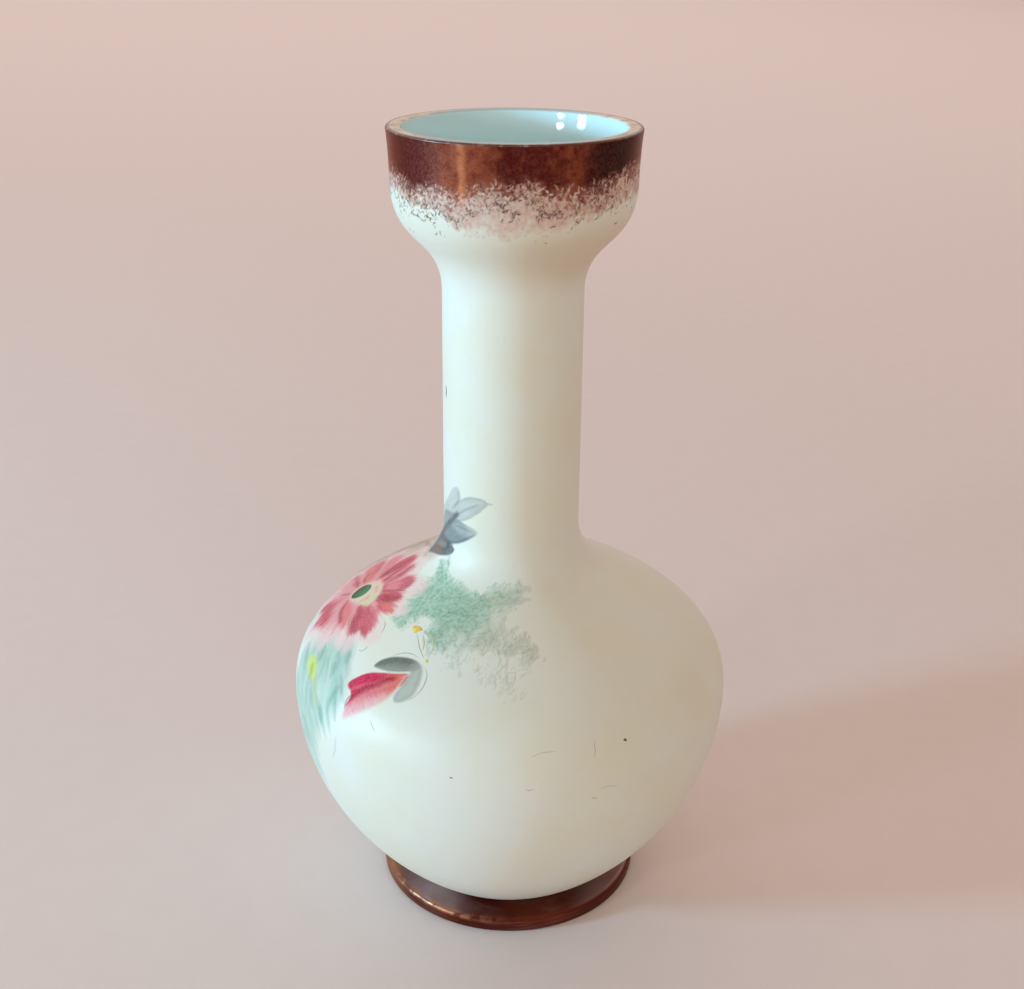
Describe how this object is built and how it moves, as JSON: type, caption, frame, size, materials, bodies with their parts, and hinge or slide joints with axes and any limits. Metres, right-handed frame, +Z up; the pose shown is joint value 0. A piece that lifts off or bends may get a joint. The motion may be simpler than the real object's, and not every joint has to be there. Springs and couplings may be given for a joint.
{
  "type": "bud vase",
  "caption": "Opal glass bottle vase with a round bulb, a straight neck, a cup mouth and an applied disc foot.",
  "frame": {"origin": "on the table, under the middle of the foot", "axes": "+Z up along the axis of the vase; +X to the right and -Y towards the viewer of the pictured side"},
  "size_m": [0.1298, 0.1298, 0.23],
  "materials": {
    "opal_glass": "satin white opal glass",
    "copper_lustre": "glossy copper brown lustre on glass"
  },
  "bodies": {
    "root": {"blown_body": "opal_glass", "applied_foot": "copper_lustre"}
  },
  "joints": []
}
